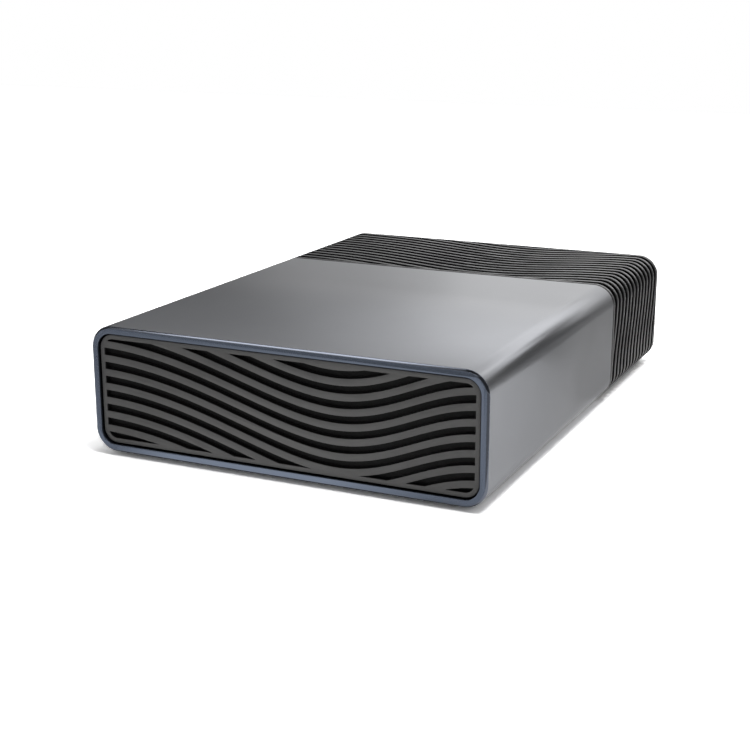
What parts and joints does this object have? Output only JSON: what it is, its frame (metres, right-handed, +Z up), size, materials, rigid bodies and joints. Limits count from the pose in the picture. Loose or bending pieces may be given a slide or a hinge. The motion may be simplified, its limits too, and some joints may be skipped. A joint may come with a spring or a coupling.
{
  "type": "external hard drive",
  "caption": "Flat desktop hard drive in an aluminium sleeve with a wave-slotted front grille and a wavy-ribbed rear shroud.",
  "frame": {"origin": "on the table under the middle of the case, at the underside of the feet", "axes": "+X to the right seen from the front, +Y from the front grille to the rear panel, +Z up"},
  "size_m": [0.126, 0.176, 0.0399],
  "materials": {
    "anodised_sleeve": "bead-blasted satin anodise",
    "anodised_ring": "slate-blue anodise, fine satin",
    "grille_black": "fine matte moulding",
    "filter_black": "non-woven sheet",
    "shroud_black": "fine matte moulding",
    "panel_black": "spark-eroded matte",
    "rubber_black": "matte",
    "screw_black": "black zinc",
    "screw_steel": "zinc plated",
    "tray_steel": "galvanised sheet",
    "disk_casting": "cast and partly machined",
    "disk_cover": "pressed sheet",
    "gasket_black": "moulded",
    "board_green": "solder mask on glass fibre",
    "chip_black": "moulded package",
    "foam_grey": "open-cell foam",
    "connector_black": "moulded",
    "bearing_steel": "ground",
    "stator_steel": "laminated",
    "copper": "enamelled wire",
    "magnet_nickel": "nickel plated",
    "platter_mirror": "polished",
    "arm_aluminium": "machined",
    "ramp_plastic": "moulded",
    "filter_white": "fibre pad",
    "port_steel": "drawn sheet",
    "light_guide": "clear moulding",
    "button_black": "satin",
    "brass_post": "turned"
  },
  "bodies": {
    "case": {"sleeve": "anodised_sleeve", "front_bezel": "anodised_ring", "front_grille": "grille_black", "dust_filter": "filter_black", "rear_shroud": "shroud_black", "rear_panel": "panel_black", "panel_screws": "screw_black", "front_feet": "rubber_black", "rear_feet": "rubber_black", "shroud_screws": "screw_black", "drive_tray": "tray_steel", "grommets": "rubber_black", "drive_screws": "screw_steel", "drive_base": "disk_casting", "cover_gasket": "gasket_black", "drive_cover": "disk_cover", "cover_screws": "screw_steel", "drive_board": "board_green", "drive_chips": "chip_black", "board_foam": "foam_grey", "drive_board_screws": "screw_steel", "sata_plug": "connector_black", "spindle_sleeve": "bearing_steel", "motor_stator": "stator_steel", "motor_windings": "copper", "pivot_post": "bearing_steel", "lower_yoke": "magnet_nickel", "upper_yoke": "magnet_nickel", "coil_magnets": "magnet_nickel", "yoke_posts": "bearing_steel", "load_ramp": "ramp_plastic", "flex_bracket": "connector_black", "recirculation_filter": "filter_white", "sata_socket": "connector_black", "bridge_board": "board_green", "bridge_chips": "chip_black", "board_standoffs": "brass_post", "board_screws": "screw_steel", "usb_c_receptacle": "port_steel", "dc_jack": "connector_black", "status_light": "light_guide", "power_switch": "connector_black"},
    "rotor": {"spindle_hub": "arm_aluminium", "rotor_magnet": "magnet_nickel", "platters": "platter_mirror", "platter_spacers": "arm_aluminium", "platter_clamp": "arm_aluminium", "clamp_screws": "screw_steel"},
    "head_arm": {"pivot_bearing": "bearing_steel", "arm_block": "arm_aluminium", "voice_coil": "copper", "head_suspensions": "bearing_steel", "head_sliders": "chip_black"},
    "button": {"power_button": "button_black", "switch_plunger": "connector_black"}
  },
  "joints": [
    {"name": "spindle_spin", "type": "hinge", "parent": "case", "child": "rotor", "pos_m": [0, -0.0278, 0.025], "axis": [0, 0, 1], "continuous": true},
    {"name": "head_arm_swing", "type": "hinge", "parent": "case", "child": "head_arm", "pos_m": [0.02, 0.0288, 0.025], "axis": [0, 0, 1], "range_deg": [0, 30.8]},
    {"name": "power_button_press", "type": "slide", "parent": "case", "child": "button", "axis": [0, -1, 0], "range_m": [0, 0.0008], "stiffness_N_per_m": 800, "springref_m": -0.0004}
  ]
}
